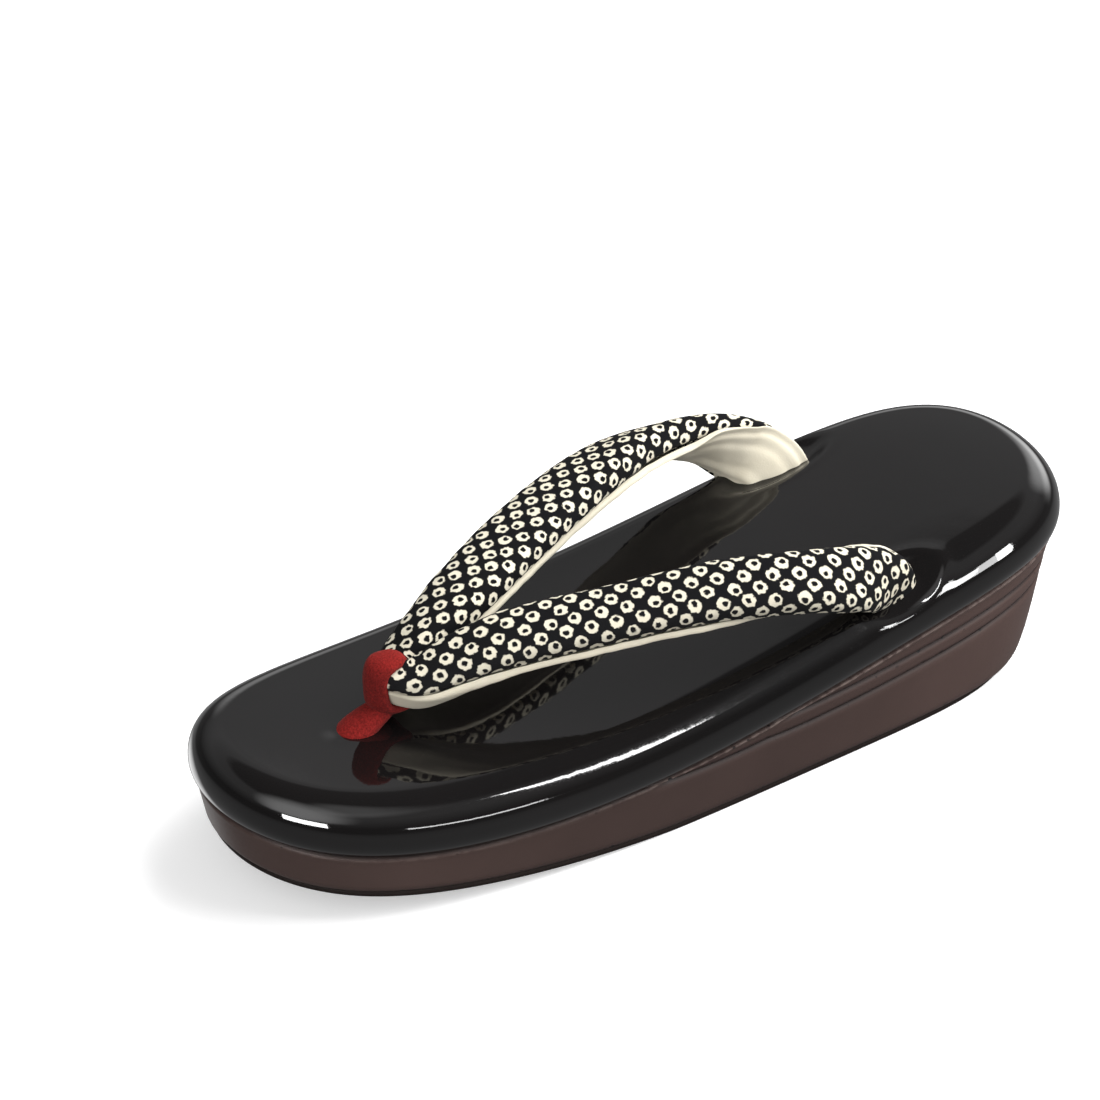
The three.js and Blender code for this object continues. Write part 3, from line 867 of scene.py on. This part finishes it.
def build_lining(strap, material):
    from_end = strap["from_end"]
    from_fold = strap["from_fold"]
    share = np.linspace(0, 1, LINING_SIDES)
    edge = np.minimum(share, 1 - share)
    swell = LINING_EDGE["swell"] * smooth_step(0.0, LINING_EDGE["swell_reach"], edge)
    swell = swell - LINING_EDGE["sink"] * (1 - smooth_step(0.0, LINING_EDGE["sink_reach"], edge))
    lip = LIP["grow"] * np.exp(-((share - LIP["at"]) / LIP["reach"]) ** 2)
    lip_along = LIP["rear"] + (1 - LIP["rear"]) * smooth_step(*LIP["from_end"], from_end)
    lip_along = lip_along * smooth_step(*LIP["from_fold"], from_fold)
    welt = WELT["grow"] * np.exp(-((1 - share - LIP["at"]) / LIP["reach"]) ** 2)
    welt_along = smooth_step(*WELT["from_end"], from_end) * smooth_step(*WELT["from_fold"], from_fold)
    tuck = TUCK["sink"] * np.exp(-((1 - share) / TUCK["reach"]) ** 2)
    swell = swell[:, None] + np.outer(lip, lip_along) + np.outer(welt, welt_along)
    swell = swell - np.outer(tuck, 1 - welt_along)
    start = math.pi - strap["inner_seam"]
    end = FULL_TURN + strap["outer_seam"]
    points, _ = ring_points(strap, share, start, end, swell)
    waves = np.sin(share * math.pi * FOLDS["count"])
    folds = np.outer(waves, smooth_step(*FOLDS["from_end"], from_end)) * FOLDS["height"]
    folds = folds * np.sin(share * math.pi)[:, None]
    points = raised(points, strap, folds + noise_on(points, **FRAY))
    faces = grid_faces(LINING_SIDES, STRAP_STATIONS, flip=True)
    mesh_piece("strap_lining", points.reshape(-1, 3), faces, {}, material, ["hanao_straps"])


def build_straps(cloth, lining):
    strap = strap_frame()
    cloth_piece = build_cloth(strap, cloth)
    build_lining(strap, lining)


# Toe loop: a band round the fold of the straps, narrow behind it, and a lobe in front that goes down the hole
BAND_CENTRE = {"y": -70.0, "z": 42.7}
BAND_RADII = {"y": 4.5, "z": 5.9}
BAND_THICK = 1.4
BAND_HALF = 4.4
BAND_PINCH = 2.9
BAND_PINCH_AT = math.radians(25)
BAND_SPREAD = 0.7
BAND_SPREAD_AT = math.radians(235)
BAND_BOW = 0.075
BAND_SQUARE = 0.66
BAND_ROUND = {"thick": 0.8, "wide": 0.7}
BAND_STEPS = 96
BAND_SIDES = 40
BAND_NOISE = {"size": 6.0, "seed": 5, "height": 0.25}
LOBE_COLUMNS = ("x", "y", "z", "half", "deep")
LOBE = (
    (2.0, -84.5, 25.0, 3.8, 2.8),
    (1.9, -84.3, 29.0, 4.5, 3.1),
    (1.7, -82.4, 31.8, 4.9, 3.3),
    (1.2, -78.7, 33.6, 4.8, 3.1),
    (0.7, -74.4, 35.2, 4.2, 2.6),
    (0.5, -70.4, 36.8, 3.5, 1.8),
)
LOBE_STATIONS = 60
LOBE_SIDES = 56
LOBE_SIDEWAYS = (1.0, 0.0, 0.0)
LOBE_NOISE = {"size": 5.0, "seed": 8, "height": 0.25}
LOBE_NOISE_REACH = 8.0


def build_band(material):
    turn = around(BAND_STEPS)
    out_y = signed_power(np.cos(turn), BAND_SQUARE)
    out_z = signed_power(np.sin(turn), BAND_SQUARE)
    half = BAND_HALF - BAND_PINCH * np.maximum(np.cos(turn - BAND_PINCH_AT), 0) ** 2
    half = half + BAND_SPREAD * np.maximum(np.cos(turn - BAND_SPREAD_AT), 0) ** 2
    rings = []
    for t in around(BAND_SIDES):
        lift = BAND_THICK * signed_power(np.sin(t), BAND_ROUND["thick"])
        wide = half * signed_power(np.cos(t), BAND_ROUND["wide"])
        y = BAND_CENTRE["y"] + (BAND_RADII["y"] + lift) * out_y + BAND_BOW * wide ** 2
        z = BAND_CENTRE["z"] + (BAND_RADII["z"] + lift) * out_z
        rings.append(np.column_stack([wide, y, z]))
    points = np.array(rings).reshape(-1, 3)
    points += noise_on(points, **BAND_NOISE)[:, None]
    faces = grid_faces(BAND_SIDES, BAND_STEPS, closed_columns=True, closed_rows=True)
    mesh_piece("loop_band", points, faces, {}, material, ["toe_loop"])


def build_lobe(material):
    _, rows = smooth_rows(np.array(LOBE), LOBE_STATIONS)
    path = rows[:, PLACE]
    half = rows[:, LOBE_COLUMNS.index("half")]
    deep = rows[:, LOBE_COLUMNS.index("deep")]
    along = unit(np.gradient(path, axis=0))
    side = np.array(LOBE_SIDEWAYS)
    face = np.cross(side, along)
    rings = []
    for t in around(LOBE_SIDES):
        rings.append(path + (half * np.cos(t))[:, None] * side + (deep * np.sin(t))[:, None] * face)
    first = np.repeat(path[:1], LOBE_SIDES, axis=0)
    last = np.repeat(path[-1:] + along[-1:], LOBE_SIDES, axis=0)
    points = np.concatenate([first[:, None], np.array(rings), last[:, None]], axis=1)
    flat = points.reshape(-1, 3)
    flat = flat + noise_on(flat, **LOBE_NOISE)[:, None] * (flat - path.mean(0)) / LOBE_NOISE_REACH
    faces = grid_faces(LOBE_SIDES, points.shape[1], closed_rows=True, flip=True)
    flat, kept, _ = welded(flat, faces, {})
    mesh_piece("loop_post", flat, kept, {}, material, ["toe_loop"])


def build_camera():
    azimuth, elevation, roll = (math.radians(CAMERA[k]) for k in ("azimuth", "elevation", "roll"))
    back = Vector((math.sin(azimuth) * math.cos(elevation), -math.cos(azimuth) * math.cos(elevation),
                   math.sin(elevation)))
    level = Vector((math.cos(azimuth), math.sin(azimuth), 0))
    rise = back.cross(level)
    right = level * math.cos(roll) + rise * math.sin(roll)
    up = rise * math.cos(roll) - level * math.sin(roll)
    data = bpy.data.cameras.new("camera")
    data.sensor_width = SENSOR
    data.lens = SENSOR * CAMERA["focal_pixels"] / PHOTO_PIXELS
    data.clip_end = CLIP_END
    camera = bpy.data.objects.new("camera", data)
    place = (Vector(CAMERA_TARGET) + back * CAMERA["distance"]) * MM
    turn = Matrix((right, up, back)).transposed().to_4x4()
    camera.matrix_world = Matrix.Translation(place) @ turn
    bpy.context.scene.collection.objects.link(camera)
    bpy.context.scene.camera = camera


# Floor: pale and glowing a little, left out of what the shoe mirrors and of the light on its matt surfaces
FLOOR = {
    "half_m": 6.0,
    "colours": ((0.74, 0.74, 0.74, 1), (0.76, 0.76, 0.76, 1)),
    "grain": {"scale": 40.0, "detail": 2.0},
    "roughness": 0.8,
    "glow_colour": (1, 1, 1, 1),
    "glow": 0.41,
}


def build_floor():
    half = FLOOR["half_m"]
    corners = [(-half, -half, 0), (half, -half, 0), (half, half, 0), (-half, half, 0)]
    mesh = bpy.data.meshes.new("floor")
    mesh.from_pydata(corners, [], [(0, 1, 2, 3)])
    floor = bpy.data.objects.new("floor", mesh)
    bpy.context.scene.collection.objects.link(floor)
    s = Shader("pale_floor")
    grain = s.noise(s.position(), **FLOOR["grain"])
    s.set(
        Base_Color=s.mix(grain, *FLOOR["colours"]),
        Roughness=FLOOR["roughness"],
        Emission_Color=FLOOR["glow_colour"],
        Emission_Strength=FLOOR["glow"],
    )
    mesh.materials.append(s.material)
    floor.visible_glossy = False
    floor.visible_diffuse = False


# Light panels: name, direction from +X and height above the floor in degrees, width and height in degrees
# as seen from the shoe, brightness, distance in metres
PANELS = (
    ("window_heel_low", 33.6, 9.0, 5.2, 11.0, 20.0, 2.5),
    ("window_heel_mid", 39.2, 9.5, 6.0, 14.0, 11.0, 2.5),
    ("window_heel", 45.0, 10.0, 5.8, 16.0, 26.0, 2.5),
    ("window_toe", -53.2, 11.5, 26.6, 8.9, 26.0, 0.453),
    ("window_high", 22.44, 36.27, 1.7, 17.0, 28.0, 0.6627),
    ("window_side", 29.6, 7.5, 2.2, 4.0, 14.0, 2.5),
    ("window_bar", 10.0, 4.0, 18.0, 2.4, 14.0, 2.5),
)
SOFT_LIGHTS = (
    ("soft_key", 70.0, 48.0, 56.0, 56.0, 5.1, 2.2),
    ("soft_heel", 50.0, 8.0, 50.0, 24.0, 1.65, 2.4),
    ("soft_toe", -48.0, 6.0, 50.0, 24.0, 0.8, 2.4),
)
# watts a square metre at a brightness of one
WATTS_PER_AREA = 4
PANEL_BOUNCES = 1


def panel_size(degrees, distance):
    return 2 * distance * math.tan(math.radians(degrees) / 2)


def build_panel(name, azimuth, elevation, wide, high, brightness, distance):
    turn = math.radians(azimuth)
    lift = math.radians(elevation)
    towards = Vector((math.cos(turn) * math.cos(lift), math.sin(turn) * math.cos(lift), math.sin(lift)))
    data = bpy.data.lights.new(name, "AREA")
    data.shape = "RECTANGLE"
    data.size = panel_size(wide, distance)
    data.size_y = panel_size(high, distance)
    data.energy = brightness * WATTS_PER_AREA * data.size * data.size_y
    light = bpy.data.objects.new(name, data)
    light.location = towards * distance
    light.rotation_euler = (-towards).to_track_quat("-Z", "Y").to_euler()
    bpy.context.scene.collection.objects.link(light)
    return light


# World: a grey room with a dark belt at the horizon and a dark ceiling, as steps from straight down to
# straight up, and soft glows by the toe, overhead, behind the heel and low behind the toe
WORLD_STEPS = ((0.0, 0.34), (0.34, 0.36), (0.41, 0.3), (0.46, 0.11), (0.57, 0.1), (0.66, 0.26),
               (0.75, 0.41), (0.85, 0.41), (0.89, 0.12), (1.0, 0.1))
WORLD_BLUE = 1.01
NEW_STOP = 0.5
UPWARD = (0.0, 0.0, 1.0)
# a glow fades in over the heights of rise and out over those of fall, and these two never cut it off
NO_RISE = (-2.1, -2.0)
NO_FALL = (2.1, 2.0)
GLOWS = (
    {"axis": (0.545, -0.650, 0.530), "start": 0.78, "strength": 2.6, "rise": (0.25, 0.36), "fall": NO_FALL},
    {"axis": (0.574, 0.0, 0.819), "start": 0.93, "strength": 0.9, "rise": (0.0, 0.1), "fall": NO_FALL},
    {"axis": (-0.559, 0.812, 0.174), "start": 0.76, "strength": 1.7, "rise": (-0.05, 0.1),
     "fall": (0.36, 0.18)},
    {"axis": (-0.417, 0.855, 0.309), "start": 0.91, "strength": 2.2, "rise": (-0.1, 0.1), "fall": NO_FALL},
    {"axis": (-0.831, -0.073, -0.552), "start": 0.95, "strength": 1.8, "rise": NO_RISE, "fall": NO_FALL},
)


def build_world():
    world = bpy.data.worlds.new("studio")
    world.use_nodes = True
    tree = world.node_tree
    background = tree.nodes["Background"]
    direction = tree.nodes.new("ShaderNodeTexCoord").outputs["Generated"]

    def along(axis):
        made = tree.nodes.new("ShaderNodeVectorMath")
        made.operation = "DOT_PRODUCT"
        made.inputs[1].default_value = axis
        tree.links.new(direction, made.inputs[0])
        return made.outputs["Value"]

    def ranged(value, low, high, top=1.0, kind="SMOOTHSTEP"):
        made = tree.nodes.new("ShaderNodeMapRange")
        made.interpolation_type = kind
        made.inputs["From Min"].default_value = low
        made.inputs["From Max"].default_value = high
        made.inputs["To Max"].default_value = top
        tree.links.new(value, made.inputs["Value"])
        return made.outputs["Result"]

    def joined(operation, a, b):
        made = tree.nodes.new("ShaderNodeVectorMath")
        made.operation = operation
        tree.links.new(a, made.inputs[0])
        tree.links.new(b, made.inputs[1])
        return made.outputs[0]

    height = along(UPWARD)
    ramp = tree.nodes.new("ShaderNodeValToRGB")
    stops = ramp.color_ramp.elements
    while len(stops) < len(WORLD_STEPS):
        stops.new(NEW_STOP)
    for stop, (place, grey) in zip(stops, WORLD_STEPS):
        stop.position = place
        stop.color = (grey, grey, grey * WORLD_BLUE, 1)
    tree.links.new(ranged(height, -1.0, 1.0, kind="LINEAR"), ramp.inputs["Fac"])
    total = ramp.outputs["Color"]
    for glow in GLOWS:
        near = ranged(along(glow["axis"]), glow["start"], 1.0, top=glow["strength"])
        above = ranged(height, *glow["rise"])
        below = ranged(height, *glow["fall"])
        total = joined("ADD", total, joined("MULTIPLY", near, joined("MULTIPLY", above, below)))
    tree.links.new(total, background.inputs["Color"])
    background.inputs["Strength"].default_value = 1.0
    bpy.context.scene.world = world


build_camera()
build_floor()
build_world()
for panel in PANELS:
    light = build_panel(*panel)
    light.visible_diffuse = False
    light.visible_camera = False
    light.data.cycles.max_bounces = PANEL_BOUNCES
for panel in SOFT_LIGHTS:
    light = build_panel(*panel)
    light.visible_glossy = False
    light.visible_camera = False

brown = brown_material()
red = red_material()
build_outsole(sole_material())
build_layer("base_cover", "platform_base", outsole_top, lower_layer_bottom, BASE_BULGE, brown)
build_layer("wedge_lower", "heel_layer_lower", lower_layer_bottom, upper_layer_bottom, LAYER_BULGE, brown)
build_layer("wedge_upper", "heel_layer_upper", upper_layer_bottom, line_height, LAYER_BULGE, brown)
build_cushion(enamel_material())
build_straps(cloth_material(), lining_material())
build_band(red)
build_lobe(red)

bpy.context.scene.view_settings.view_transform = "Standard"
bpy.context.view_layer.update()
